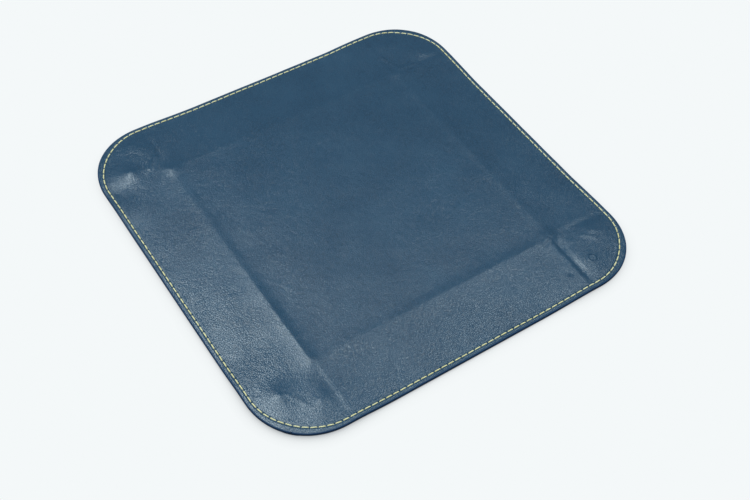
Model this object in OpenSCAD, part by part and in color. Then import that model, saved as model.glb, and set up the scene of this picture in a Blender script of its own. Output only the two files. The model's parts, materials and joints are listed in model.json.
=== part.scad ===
// Folding dice tray, lying flat with its leather side up and its velvet side down.
// The sheet folds along a square of creases. Each corner is a pinch of two flaps
// that meet face to face on a diagonal crease, where a ring-spring snap holds them.
// Units are millimetres, +Z is up, and the origin is on the table under the centre.

/* [Sheet] */
// Length of each side of the flat sheet
side = 254; // [220:2:300]
// Radius of the sheet's four outer corners
corner_r = 40; // [36:1:42]
// Height of a folded wall, from its crease to the sheet's edge
wall_h = 43; // [42:1:50]

/* [Layers] */
// Thickness of the velvet lining over a board
velvet_t = 0.8; // [0.6:0.1:1.0]
// Thickness of the stiffening board in the floor and in each wall
board_t = 0.8; // [0.6:0.1:1.0]
// Thickness of the leather over a board
leather_t = 0.8; // [0.8:0.1:1.0]

/* [Creases] */
// Slot on each side of the crease between a wall and a corner flap, which fold 45 degrees towards the leather
flap_slot = 1.9; // [1.9:0.1:2.5]
// Slot on each side of the other creases, which open as they fold
fold_slot = 0.15; // [0.1:0.05:0.4]

/* [Boards] */
// Distance from a board to the crease beside it
board_to_crease = 2.2; // [2:0.1:4]
// Distance from a board to the sheet's outer edge, which leaves room for the seam
board_to_edge = 6.5; // [6:0.5:10]
// Radius of a board's corners
board_r = 3; // [1:0.5:6]

/* [Seam] */
// Distance from the sheet's edge to the row of stitches
seam_inset = 3; // [2.5:0.1:3.5]
// Number of stitches from the middle of a side to the middle of a corner
stitches_per_eighth = 25; // [20:1:28]
// Visible length of a stitch
stitch_l = 3.7; // [3:0.1:3.8]
// Width of the thread
thread_w = 0.7; // [0.5:0.1:0.9]
// Thickness of the thread where it lies in its groove
thread_t = 0.4; // [0.3:0.05:0.5]
// Width of the groove that the thread lies in
groove_w = 1.2; // [1:0.1:1.4]
// Depth of the groove
groove_d = 0.35; // [0.2:0.05:0.4]

/* [Snaps] */
// Distance from a snap's axis to its flap's wall crease
snap_across = 10; // [9:0.5:11]
// Distance from a snap's axis to the wall's floor crease
snap_along = 25.5; // [25:0.5:27]
// Radius of the socket
socket_r = 5.5; // [5:0.1:6]
// Height of the socket below the velvet
socket_h = 3; // [3:0.1:3.2]
// Radius of the socket's mouth
mouth_r = 2.1; // [2.1:0.05:2.2]
// Radius of the stud's flange
stud_flange_r = 5; // [4.5:0.1:5.5]
// Thickness of the stud's flange
stud_flange_t = 0.45; // [0.4:0.05:0.5]
// Height of the stud below the velvet
stud_h = 2.7; // [2.6:0.05:2.75]
// Largest radius of the stud's bead
bead_r = 1.85; // [1.8:0.05:1.9]
// Radius of the stud's neck
neck_r = 1.5; // [1.4:0.05:1.6]

/* [Hidden] */

// Colours
leather_colour = [0.16, 0.29, 0.38];
velvet_colour = [0.07, 0.10, 0.19];
board_colour = [0.62, 0.58, 0.50];
thread_colour = [0.84, 0.80, 0.52];
metal_colour = [0.78, 0.78, 0.76];

// Quarter turns from the back, anticlockwise from above: walls, and the corner on each wall's right
BACK = 0;
LEFT = 1;
FRONT = 2;
RIGHT = 3;
BACK_RIGHT = 0;
BACK_LEFT = 1;
FRONT_LEFT = 2;
FRONT_RIGHT = 3;

// Heights: the sockets stand on the table and carry the velvet
velvet_z = socket_h;
board_z = velvet_z + velvet_t;
seam_z = board_z + board_t / 2;
leather_z = board_z + board_t;
top_z = leather_z + leather_t;

// Distances from the centre
edge = side / 2;
fold = edge - wall_h;
flap_start = fold + flap_slot;
wall_half_l = fold - flap_slot;
arc_centre = edge - corner_r;

// The stitches run at an even pitch along an eighth of the seam, with a gap on the diagonal
seam_r = corner_r - seam_inset;
eighth_l = arc_centre + seam_r * PI / 4;
stitch_pitch = eighth_l / (stitches_per_eighth + 0.5);
wall_stitches = floor((wall_half_l - stitch_l / 2) / stitch_pitch);
flap_stitch_start = ceil((flap_start + stitch_l / 2) / stitch_pitch);

// Snap details
post_clear = 0.06;
velvet_hole_clear = 0.1;
recess_clear = 0.1;
bead_arc_r = 0.85;
stud_shank_r = 1.0;
stud_shank_bore_r = 0.6;
stud_nose_wall = 0.4;
stud_post_r = 4.5;
stud_post_t = 0.5;
stud_rim_r = 2.1;
stud_rim_wire_r = 0.2;
socket_plate_t = 0.45;
socket_lip_t = 0.5;
socket_cavity_r = 2.9;
socket_round_r = 0.8;
socket_shank_r = 1.3;
socket_head_r = 1.8;
socket_head_z = 0.5;
socket_head_t = 0.25;
socket_post_r = 5;
socket_post_t = 0.5;
spring_ring_r = 2.45;
spring_wire_r = 0.25;
spring_z = 2.2;
spring_turn = 320;

// Fineness of the outlines and of the small turned parts
outline_fn = 96;
turned_fn = 48;
cut = 1;

// ---------- outlines ----------

// The sheet's outline, or a line parallel to it further in
module outline(inset = 0) {
    r = corner_r - inset;
    half = edge - inset;
    square([2 * half, 2 * arc_centre], center = true);
    square([2 * arc_centre, 2 * half], center = true);
    for (x = [-arc_centre, arc_centre])
        for (y = [-arc_centre, arc_centre])
            translate([x, y])
                circle(r = r, $fn = outline_fn);
}

// A rectangle with rounded corners, from its low corner to its high corner
module rounded_rectangle(low, high, r) {
    translate([low.x + r, low.y])
        square([high.x - low.x - 2 * r, high.y - low.y]);
    translate([low.x, low.y + r])
        square([high.x - low.x, high.y - low.y - 2 * r]);
    for (x = [low.x + r, high.x - r])
        for (y = [low.y + r, high.y - r])
            translate([x, y])
                circle(r = r, $fn = turned_fn);
}

module base_area() {
    square(2 * (fold - fold_slot), center = true);
}

// The back wall
module wall_area() {
    translate([-wall_half_l, fold + fold_slot])
        square([2 * wall_half_l, edge - fold - fold_slot]);
}

// The back wall's flap in the back right corner, between the wall's crease and the diagonal
module flap_area() {
    diagonal_slot = fold_slot * sqrt(2);
    intersection() {
        outline();
        polygon([
            [flap_start, flap_start + diagonal_slot],
            [edge + cut, edge + cut + diagonal_slot],
            [flap_start, edge + cut + diagonal_slot]
        ]);
    }
}

module base_board_area() {
    half = fold - fold_slot - board_to_crease;
    rounded_rectangle([-half, -half], [half, half], board_r);
}

module wall_board_area() {
    half = wall_half_l - board_to_crease;
    rounded_rectangle(
        [-half, fold + fold_slot + board_to_crease],
        [half, edge - board_to_edge],
        board_r
    );
}

// The groove that the stitches lie in
module groove_area() {
    difference() {
        outline(seam_inset - groove_w / 2);
        outline(seam_inset + groove_w / 2);
    }
}

// ---------- places ----------

module at_wall(quarter) {
    rotate([0, 0, 90 * quarter])
        children();
}

// The flap with the socket is on the diagonal's left, seen from the centre, and the stud's on its right
module at_socket_flap(quarter) {
    rotate([0, 0, 90 * quarter])
        children();
}

module at_stud_flap(quarter) {
    rotate([0, 0, 90 * quarter])
        mirror([1, -1, 0])
            children();
}

// A snap's axis on its flap, with z = 0 on the velvet and +z away from it
module at_snap() {
    translate([fold + snap_across, fold + snap_along, velvet_z])
        mirror([0, 0, 1])
            children();
}

// ---------- layers ----------

// The upper half of the sheet over an area
module leather_slab() {
    translate([0, 0, seam_z])
        linear_extrude(top_z - seam_z)
            children();
}

// The lower half of the sheet under an area
module velvet_slab() {
    translate([0, 0, velvet_z])
        linear_extrude(seam_z - velvet_z)
            children();
}

module board_slab() {
    translate([0, 0, board_z])
        linear_extrude(board_t)
            children();
}

module groove_cut() {
    translate([0, 0, top_z - groove_d])
        linear_extrude(groove_d + cut)
            groove_area();
}

module leather_base() {
    color(leather_colour)
        difference() {
            leather_slab()
                base_area();
            board_slab()
                base_board_area();
        }
}

module velvet_base() {
    color(velvet_colour)
        difference() {
            velvet_slab()
                base_area();
            board_slab()
                base_board_area();
        }
}

module board_base() {
    color(board_colour)
        board_slab()
            base_board_area();
}

module leather_wall(quarter) {
    color(leather_colour)
        at_wall(quarter)
            difference() {
                leather_slab()
                    wall_area();
                board_slab()
                    wall_board_area();
                groove_cut();
            }
}

module velvet_wall(quarter) {
    color(velvet_colour)
        at_wall(quarter)
            difference() {
                velvet_slab()
                    wall_area();
                board_slab()
                    wall_board_area();
            }
}

module board_wall(quarter) {
    color(board_colour)
        at_wall(quarter)
            board_slab()
                wall_board_area();
}

// The space in the leather for a post's back, cut from the side of the velvet
module post_recess(flange_r, flange_t, rim_r, rim_h) {
    at_snap() {
        translate([0, 0, velvet_z - seam_z - flange_t - recess_clear])
            cylinder(r = flange_r + recess_clear, h = flange_t + recess_clear + cut, $fn = turned_fn);
        translate([0, 0, velvet_z - seam_z - flange_t - rim_h - recess_clear])
            cylinder(r = rim_r + recess_clear, h = rim_h + cut, $fn = turned_fn);
    }
}

module shank_hole(shank_r) {
    at_snap()
        translate([0, 0, velvet_z - seam_z - cut])
            cylinder(r = shank_r + velvet_hole_clear, h = seam_z - velvet_z + 2 * cut, $fn = turned_fn);
}

module socket_flap_leather(quarter) {
    color(leather_colour)
        at_socket_flap(quarter)
            difference() {
                leather_slab()
                    flap_area();
                groove_cut();
                post_recess(socket_post_r, socket_post_t, stud_rim_r, 0);
            }
}

module stud_flap_leather(quarter) {
    color(leather_colour)
        at_stud_flap(quarter)
            difference() {
                leather_slab()
                    flap_area();
                groove_cut();
                post_recess(stud_post_r, stud_post_t, stud_rim_r + stud_rim_wire_r, stud_rim_wire_r);
            }
}

module socket_flap_velvet(quarter) {
    color(velvet_colour)
        at_socket_flap(quarter)
            difference() {
                velvet_slab()
                    flap_area();
                shank_hole(socket_shank_r);
            }
}

module stud_flap_velvet(quarter) {
    color(velvet_colour)
        at_stud_flap(quarter)
            difference() {
                velvet_slab()
                    flap_area();
                shank_hole(stud_shank_r);
            }
}

// ---------- seam ----------

// Place and heading at a length along the seam, from the middle of the back edge to the right
function seam_turn(s) = max(0, s - arc_centre) / seam_r * 180 / PI;
function seam_point(s) = s < arc_centre
    ? [s, edge - seam_inset]
    : [arc_centre + seam_r * sin(seam_turn(s)), arc_centre + seam_r * cos(seam_turn(s))];

module stitch(s) {
    translate([seam_point(s).x, seam_point(s).y, top_z - groove_d])
        rotate([0, 0, -seam_turn(s)])
            translate([-stitch_l / 2, -thread_w / 2, 0])
                cube([stitch_l, thread_w, thread_t]);
}

module wall_thread(quarter) {
    color(thread_colour)
        at_wall(quarter)
            for (k = [-wall_stitches : wall_stitches])
                translate([k * stitch_pitch, 0, 0])
                    stitch(0);
}

module flap_stitches() {
    for (k = [flap_stitch_start : stitches_per_eighth])
        stitch(k * stitch_pitch);
}

module socket_flap_thread(quarter) {
    color(thread_colour)
        at_socket_flap(quarter)
            flap_stitches();
}

module stud_flap_thread(quarter) {
    color(thread_colour)
        at_stud_flap(quarter)
            flap_stitches();
}

// ---------- snaps ----------

// The socket: a base plate, a hollow body with a rounded shoulder, and an open ring spring
module socket_body() {
    rotate_extrude($fn = turned_fn) {
        translate([socket_shank_r + post_clear, 0])
            square([socket_r - socket_shank_r - post_clear, socket_plate_t]);
        translate([socket_cavity_r, 0])
            square([socket_r - socket_cavity_r, socket_h - socket_round_r]);
        translate([mouth_r, socket_h - socket_lip_t])
            square([socket_r - socket_round_r - mouth_r, socket_lip_t]);
        translate([socket_cavity_r, 0])
            square([socket_r - socket_round_r - socket_cavity_r, socket_h]);
        translate([socket_r - socket_round_r, socket_h - socket_round_r])
            circle(r = socket_round_r, $fn = turned_fn);
    }
}

module ring_spring() {
    translate([0, 0, spring_z])
        rotate_extrude(angle = spring_turn, $fn = turned_fn)
            translate([spring_ring_r, 0])
                circle(r = spring_wire_r, $fn = 24);
}

module socket(quarter) {
    color(metal_colour)
        at_socket_flap(quarter)
            at_snap() {
                socket_body();
                ring_spring();
            }
}

// The socket's post: a broad back under the leather, a shank and a peened head in the socket
module socket_post(quarter) {
    back_z = velvet_z - seam_z - socket_post_t;
    color(metal_colour)
        at_socket_flap(quarter)
            at_snap()
                rotate_extrude($fn = turned_fn) {
                    translate([0, back_z])
                        square([socket_post_r, socket_post_t]);
                    translate([0, back_z])
                        square([socket_shank_r, socket_head_z - back_z]);
                    translate([0, socket_head_z])
                        square([socket_head_r, socket_head_t]);
                }
}

// The stud: a flange, a neck and a hollow bead that clicks behind the spring
module stud(quarter) {
    bead_z = stud_h - bead_arc_r;
    bore_r = stud_shank_r + post_clear;
    color(metal_colour)
        at_stud_flap(quarter)
            at_snap()
                rotate_extrude($fn = turned_fn)
                    difference() {
                        union() {
                            square([stud_flange_r, stud_flange_t]);
                            square([neck_r, bead_z]);
                            translate([0, bead_z - bead_arc_r])
                                square([bead_r - bead_arc_r, 2 * bead_arc_r]);
                            translate([bead_r - bead_arc_r, bead_z])
                                circle(r = bead_arc_r, $fn = turned_fn);
                        }
                        translate([0, -cut])
                            square([bore_r, cut + stud_h - stud_nose_wall]);
                    }
}

// The stud's post: a back with a rolled rim, which shows through the leather as a ring, and a hollow shank
module stud_post(quarter) {
    back_z = velvet_z - seam_z - stud_post_t;
    tip_z = stud_h - stud_nose_wall - post_clear;
    color(metal_colour)
        at_stud_flap(quarter)
            at_snap()
                rotate_extrude($fn = turned_fn) {
                    translate([stud_shank_bore_r, back_z])
                        square([stud_post_r - stud_shank_bore_r, stud_post_t]);
                    translate([stud_rim_r, back_z])
                        circle(r = stud_rim_wire_r, $fn = 24);
                    translate([stud_shank_bore_r, back_z])
                        square([stud_shank_r - stud_shank_bore_r, tip_z - back_z]);
                }
}

// ---------- nodes ----------

leather_base();
velvet_base();
board_base();

leather_wall(BACK);  // leather_wall_back
leather_wall(LEFT);  // leather_wall_left
leather_wall(FRONT);  // leather_wall_front
leather_wall(RIGHT);  // leather_wall_right

velvet_wall(BACK);  // velvet_wall_back
velvet_wall(LEFT);  // velvet_wall_left
velvet_wall(FRONT);  // velvet_wall_front
velvet_wall(RIGHT);  // velvet_wall_right

board_wall(BACK);  // board_wall_back
board_wall(LEFT);  // board_wall_left
board_wall(FRONT);  // board_wall_front
board_wall(RIGHT);  // board_wall_right

wall_thread(BACK);  // thread_wall_back
wall_thread(LEFT);  // thread_wall_left
wall_thread(FRONT);  // thread_wall_front
wall_thread(RIGHT);  // thread_wall_right

socket_flap_leather(BACK_RIGHT);  // leather_corner_br_back
socket_flap_leather(BACK_LEFT);  // leather_corner_bl_left
socket_flap_leather(FRONT_LEFT);  // leather_corner_fl_front
socket_flap_leather(FRONT_RIGHT);  // leather_corner_fr_right
stud_flap_leather(BACK_RIGHT);  // leather_corner_br_right
stud_flap_leather(BACK_LEFT);  // leather_corner_bl_back
stud_flap_leather(FRONT_LEFT);  // leather_corner_fl_left
stud_flap_leather(FRONT_RIGHT);  // leather_corner_fr_front

socket_flap_velvet(BACK_RIGHT);  // velvet_corner_br_back
socket_flap_velvet(BACK_LEFT);  // velvet_corner_bl_left
socket_flap_velvet(FRONT_LEFT);  // velvet_corner_fl_front
socket_flap_velvet(FRONT_RIGHT);  // velvet_corner_fr_right
stud_flap_velvet(BACK_RIGHT);  // velvet_corner_br_right
stud_flap_velvet(BACK_LEFT);  // velvet_corner_bl_back
stud_flap_velvet(FRONT_LEFT);  // velvet_corner_fl_left
stud_flap_velvet(FRONT_RIGHT);  // velvet_corner_fr_front

socket_flap_thread(BACK_RIGHT);  // thread_corner_br_back
socket_flap_thread(BACK_LEFT);  // thread_corner_bl_left
socket_flap_thread(FRONT_LEFT);  // thread_corner_fl_front
socket_flap_thread(FRONT_RIGHT);  // thread_corner_fr_right
stud_flap_thread(BACK_RIGHT);  // thread_corner_br_right
stud_flap_thread(BACK_LEFT);  // thread_corner_bl_back
stud_flap_thread(FRONT_LEFT);  // thread_corner_fl_left
stud_flap_thread(FRONT_RIGHT);  // thread_corner_fr_front

socket(BACK_RIGHT);  // socket_br
socket(BACK_LEFT);  // socket_bl
socket(FRONT_LEFT);  // socket_fl
socket(FRONT_RIGHT);  // socket_fr

socket_post(BACK_RIGHT);  // socket_post_br
socket_post(BACK_LEFT);  // socket_post_bl
socket_post(FRONT_LEFT);  // socket_post_fl
socket_post(FRONT_RIGHT);  // socket_post_fr

stud(BACK_RIGHT);  // stud_br
stud(BACK_LEFT);  // stud_bl
stud(FRONT_LEFT);  // stud_fl
stud(FRONT_RIGHT);  // stud_fr

stud_post(BACK_RIGHT);  // stud_post_br
stud_post(BACK_LEFT);  // stud_post_bl
stud_post(FRONT_LEFT);  // stud_post_fl
stud_post(FRONT_RIGHT);  // stud_post_fr
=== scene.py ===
"""The looks of the folding dice tray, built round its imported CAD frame.

Lengths are in millimetres until a mesh is made, which is in metres like the frame.
The sheet is a height field over its own plan: lift() is the height of the velvet's face
above the table, and top() is the height of the leather's face.
"""

import json
import math

import bpy
import numpy as np
from mathutils import Matrix, Vector
from mathutils.geometry import delaunay_2d_cdt


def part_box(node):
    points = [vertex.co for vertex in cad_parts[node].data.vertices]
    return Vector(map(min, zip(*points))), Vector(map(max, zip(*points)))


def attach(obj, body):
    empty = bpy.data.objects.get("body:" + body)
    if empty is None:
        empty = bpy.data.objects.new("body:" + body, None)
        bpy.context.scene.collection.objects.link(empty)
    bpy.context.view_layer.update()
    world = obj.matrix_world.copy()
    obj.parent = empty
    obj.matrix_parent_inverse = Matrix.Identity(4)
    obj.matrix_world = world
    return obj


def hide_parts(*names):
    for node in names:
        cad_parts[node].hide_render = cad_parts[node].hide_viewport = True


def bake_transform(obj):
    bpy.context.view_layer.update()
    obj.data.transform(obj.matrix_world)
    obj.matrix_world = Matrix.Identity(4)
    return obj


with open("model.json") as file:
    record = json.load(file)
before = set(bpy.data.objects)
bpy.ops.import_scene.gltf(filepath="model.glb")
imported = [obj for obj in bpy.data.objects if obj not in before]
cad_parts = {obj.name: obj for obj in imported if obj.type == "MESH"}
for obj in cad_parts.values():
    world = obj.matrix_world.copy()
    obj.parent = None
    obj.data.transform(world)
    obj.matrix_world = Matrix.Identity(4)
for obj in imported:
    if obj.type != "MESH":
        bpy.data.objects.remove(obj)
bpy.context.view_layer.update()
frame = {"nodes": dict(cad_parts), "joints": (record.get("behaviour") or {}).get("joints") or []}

MM = 0.001
WALLS = ["back", "left", "front", "right"]     # quarter turns from the back
CORNERS = ["br", "bl", "fl", "fr"]             # the corner on the right of each wall


# ---------- sizes from the frame ----------

def box_mm(node):
    low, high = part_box(node)
    return low / MM, high / MM


lead = next(j for j in frame["joints"] if j["name"] == "front_wall_fold")["pos_m"]
EDGE = box_mm("leather_wall_right")[1].x
HINGE_Z = lead[2] / MM
FOLD = abs(lead[1]) / MM   # from the middle to each floor crease
WALL_H = EDGE - FOLD
CORNER_R = 40.0
ARC_C = EDGE - CORNER_R    # from the middle to where the rounded corners start
SNAP_Z = box_mm("velvet_base")[0].z
stud_low, stud_high = box_mm("stud_fr")
SNAP_U = (stud_low.x + stud_high.x) / 2 - FOLD
SNAP_V = -(stud_low.y + stud_high.y) / 2 - FOLD
thread_low, thread_high = box_mm("thread_wall_back")
SEAM_IN = EDGE - (thread_low.y + thread_high.y) / 2

SEAM_R = CORNER_R - SEAM_IN
EIGHTH = ARC_C + SEAM_R * math.pi / 4          # length of the seam from a side's middle to a corner's
STITCHES = 25              # in that length, besides the middle one's half
PITCH = EIGHTH / (STITCHES + 0.5)

SKIN = 0.8                 # thickness of the leather, and of the velvet
BOARD = 0.8
SHEET = 2 * SKIN + BOARD   # the whole sheet
TABLE_GAP = 0.12           # the velvet's pile under the flat parts
FLAP_LIFT = HINGE_Z + 0.12                     # lowest velvet on a flap, so that two folded flaps just meet

FOLD_HALF = 2.0            # half the width of the strip that bends at a floor crease
FLAP_HALF = 2.6            # half the width of the strip that bends at a flap crease
EAR = FOLD - 0.8           # how far a wall's bending strip reaches at the crease
NECK = FOLD - FOLD_HALF - 0.5                  # and at its inner side
RIM = 0.7                  # reach of the rounded, painted edge
BULGE = 0.6                # how much fuller than round the outline's corners are, in their middles
SEAM_CUT = 1.3             # how much further inside the edge the seam runs there


# ---------- small maths ----------

def smooth(t):
    """0 to 1 as t goes from 0 to 1, level at both ends."""
    t = np.clip(t, 0.0, 1.0)
    return t * t * (3 - 2 * t)


def mound(r, flat, foot):
    """1 within flat, falling to 0 at foot."""
    return 1 - smooth((r - flat) / (foot - flat))


def bell(t):
    """1 where t is 0, dying away on both sides."""
    return np.exp(-t ** 2)


def ripples(x, y, low, high, seed, count=14):
    """Gentle unevenness of about unit height, with wavelengths from low to high."""
    rng = np.random.default_rng(seed)
    total = np.zeros_like(x)
    for _ in range(count):
        wave = low * (high / low) ** rng.random()
        turn = rng.random() * 2 * math.pi
        phase = rng.random() * 2 * math.pi
        total = total + np.sin((x * math.cos(turn) + y * math.sin(turn)) * 2 * math.pi / wave + phase)
    return total / math.sqrt(count)


def turned(points, quarter):
    """Points turned by quarter turns about the centre."""
    points = np.asarray(points, float)
    c, s = [(1, 0), (0, 1), (-1, 0), (0, -1)][quarter % 4]
    return np.stack([c * points[:, 0] - s * points[:, 1], s * points[:, 0] + c * points[:, 1]], 1)


# ---------- the sheet's shape ----------

# What each corner looks like:
#   reach: how far from it the walls start to rise
#   vertex: height where the creases cross
#   groove: depths of its two creases, the one along y first
#   socket, stud: how high the sheet drapes over them
#   dome, pole: the leather's own bumps over the socket and the stud
#   ring, nub: the print of the stud's post, as a ring or a small nub
LOOK = {
    "br": dict(reach=40, vertex=0.25, groove=(0.28, 0.22), socket=2.65, stud=2.80,
               dome=0.10, pole=0.10, ring=0.0, nub=0.12),
    "bl": dict(reach=40, vertex=0.70, groove=(0.22, 0.08), socket=2.95, stud=2.65,
               dome=0.75, pole=0.05, ring=0.0, nub=0.0),
    "fl": dict(reach=26, vertex=0.35, groove=(0.32, 0.00), socket=2.75, stud=3.00,
               dome=0.20, pole=0.30, ring=0.0, nub=0.22),
    "fr": dict(reach=40, vertex=0.70, groove=(0.95, 0.28), socket=2.75, stud=2.80,
               dome=0.35, pole=0.10, ring=0.22, nub=0.0),
}


def corner_frames(x, y):
    """For each corner: its look, the distances past its two creases, and the places of its snaps."""
    for quarter, name in enumerate(CORNERS):
        sx, sy = [(1, 1), (-1, 1), (-1, -1), (1, -1)][quarter]
        u, v = sx * x - FOLD, sy * y - FOLD
        socket, stud = ((SNAP_U, SNAP_V), (SNAP_V, SNAP_U))[:: (1 if quarter % 2 == 0 else -1)]
        yield LOOK[name], u, v, socket, stud


PLATEAU = 1.7              # how far the base hangs above the table, held up by the walls' slope
DOME = 0.35                # how much more it stands at its middle
CURL = 0.9                 # how far the left wall's edge stands off the table
SWELL = 2.4                # how high a flap stands between its snaps
FLAP_MID = 16              # from both creases to the middle of that
SEAT = 5.7                 # radius of the velvet's flat seat on a snap
SEAT_HILL = 15.5           # and of the slope round it

# How far each floor crease stands above the base, at five even places from the wall's right end to its left,
# and how deep the base dips beside it at those two ends
RIDGES = {
    "back": ((0.25, 0.10, 0.10, 0.15, 0.30), (0.05, 0.05)),
    "left": ((0.30, 0.15, 0.30, 1.10, 1.60), (0.10, 0.28)),
    "front": ((0.10, 0.20, 0.50, 0.65, 0.60), (0.10, 0.10)),
    "right": ((0.60, 0.30, 0.25, 0.20, 0.25), (0.10, 0.10)),
}
RIDGE_IN = 3.8             # how fast a ridge falls off over the base


def ridge(quarter, x, y):
    """Height of one wall's floor crease above the base."""
    heights, dips = RIDGES[WALLS[quarter]]
    c, s = [(1, 0), (0, -1), (-1, 0), (0, 1)][quarter]
    along, past = c * x - s * y, s * x + c * y - FOLD
    places = np.linspace(-FOLD, FOLD, len(heights))
    high = sum(np.interp(along + d, places, heights[::-1]) for d in (-12, -6, 0, 6, 12)) / 5
    ends = mound(np.abs(along), FOLD - 8, FOLD + 14)
    narrow = np.exp(-np.sqrt(past * past + 0.6) / RIDGE_IN)
    full = math.exp(-math.sqrt(0.6) / RIDGE_IN)
    slope = np.where(past < 0, narrow, 0.35 * narrow + 0.65 * full * (1 - past / WALL_H))
    gutter = smooth((past + 36) / 30) * (1 - smooth((past + 6) / 6))
    dip = np.interp(along, (-FOLD, FOLD), dips[::-1])
    return high * ends * slope.clip(0) - dip * gutter * mound(np.abs(along), FOLD - 30, FOLD)


def roof(x, y):
    """1 over the base, falling evenly over the walls to 0 at the sheet's edge."""
    past = np.maximum(np.abs(x), np.abs(y)) - FOLD
    return 1 - 0.5 * (past + np.sqrt(past * past + 4.0)) / WALL_H


def curl(x, y):
    """How far the left wall's edge stands off the table: most towards the back, and nothing at its flaps."""
    return CURL * smooth((-x - FOLD) / WALL_H) * smooth((y + 60) / 110) * mound(y, 62, 90)


def lift(x, y, seated=True):
    """Height of the velvet's face: flat on the snaps if seated, or else as the leather drapes over them."""
    x, y = np.asarray(x, float), np.asarray(y, float)
    bow = (1 - ((x / 90) ** 4 + (y / 90) ** 4) / 1.3).clip(0)
    z = TABLE_GAP + 0.08 * (1 + 0.5 * ripples(x, y, 60, 150, 3, 8)).clip(0)
    z = z + PLATEAU * roof(x, y) + DOME * bow ** 1.2
    z = z + curl(x, y)
    for quarter in range(4):
        z = z + ridge(quarter, x, y)
    for look, u, v, socket, stud in corner_frames(x, y):
        far, near = np.maximum(u, v), np.minimum(u, v)
        inner = smooth((u + 14) / 20) * smooth((v + 14) / 20)
        # the sheet rises towards the corner, on the walls as on the flaps
        hip = FLAP_LIFT + (PLATEAU + TABLE_GAP - FLAP_LIFT) * (1 - smooth(far / 30))
        level = z + np.maximum(0, hip - z) * inner
        rise = smooth(near / look["reach"] + 1) * smooth((far - 10) / 30) * (1 - inner)
        level = level + (FLAP_LIFT - TABLE_GAP) * rise
        to_socket, to_stud = (np.hypot(u - p, v - q) for p, q in (socket, stud))
        level = level + (SWELL - level) * bell(np.hypot(u - FLAP_MID, v - FLAP_MID) / 21)
        if seated:
            hills = 1 - (1 - mound(to_socket, SEAT, SEAT_HILL)) * (1 - mound(to_stud, SEAT, SEAT_HILL))
            level = level + (SNAP_Z - level) * hills
        else:
            level = level + (look["socket"] - level) * bell(to_socket / 9)
            level = level + (look["stud"] - level) * bell(to_stud / 9)
        # the flap creases are soft grooves between low shoulders
        for d, s, deep in ((u, v, look["groove"][0]), (v, u, look["groove"][1])):
            wide = np.where(d < 0, 2.2, 5.5 - 2.5 * smooth((s - 10) / 12))
            shoulder = 0.4 * bell(d / 7.0) - bell(d / wide)
            level = level + deep * shoulder * smooth((s + 2) / 9) * mound(s, 28, 44)
        level = level + look["vertex"] * bell(np.hypot(u + 1, v + 1) / 5.0)
        on_flap = smooth((u + 1) / 2) * smooth((v + 1) / 2)
        z = level + np.maximum(0, FLAP_LIFT - level) * on_flap
        if seated:
            close = np.maximum(mound(to_socket, SEAT, 8.5), mound(to_stud, SEAT, 8.5))
            z = z * (1 - close) + SNAP_Z * close
            # so that two folded flaps close along their diagonal
            diagonal = mound(np.abs(u - v) / math.sqrt(2), 3.0, 5.2) * (u + v > 0)
            keel = np.maximum(diagonal, mound(np.hypot(u, v), 4.0, 9.0))
            z = z + (FLAP_LIFT - z) * keel
    return z


def seam_place(x, y):
    """Distance inside the sheet's edge, length along the seam from the side's middle, the seam's inset."""
    ax, ay = np.abs(x), np.abs(y)
    cx, cy = ax - ARC_C, ay - ARC_C
    arc = (cx > 0) & (cy > 0)
    radius = np.hypot(cx, cy)
    angle = np.arctan2(np.minimum(cx, cy), np.maximum(cx, cy))
    bend = np.where(arc, np.sin(2 * angle) ** 2, 0.0)
    inside = np.where(arc, CORNER_R + BULGE * bend - radius, EDGE - np.maximum(ax, ay))
    along = np.where(arc, ARC_C + SEAM_R * angle, np.minimum(ax, ay))
    return inside, along, SEAM_IN + SEAM_CUT * bend


# Small folds of the leather: both ends' x and y, width and height
CRINKLES = [
    (-106, -95, -100, -106, 1.3, 0.13),
    (-95, 90, -87, 97, 1.5, 0.28),
    (75, -86, 81, -84, 1.0, 0.24),
    (76, -89.5, 80, -88, 0.9, 0.20),
    (101, -93, 106, -98, 1.6, 0.22),
    (88, 86, 84, 100, 2.0, 0.20),
    (84, 100, 83, 120, 2.0, 0.20),
    (88, 86, 101, 84, 1.8, 0.20),
    (-70, 20, -60, -8, 1.2, 0.025),
    (-66, -2, -52, -22, 1.1, 0.03),
    (-58, 30, -44, 10, 1.2, 0.02),
    (-78, -20, -68, -34, 1.0, 0.04),
]
# Dents: x, y, size and depth
PITS = [
    (-5, 87, 1.3, 0.10),
    (-79, 57, 1.5, 0.16),
    (-62, -86.5, 1.4, 0.18),
    (-50, -117, 1.4, 0.20),
    (76, -111, 1.8, 0.35),
]
SEAM_DEPTH = 0.20          # of the groove that the stitches draw into the leather


def waves(x, y):
    """The leather's broad unevenness."""
    return 0.06 * ripples(x, y, 18, 50, 12)


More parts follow.
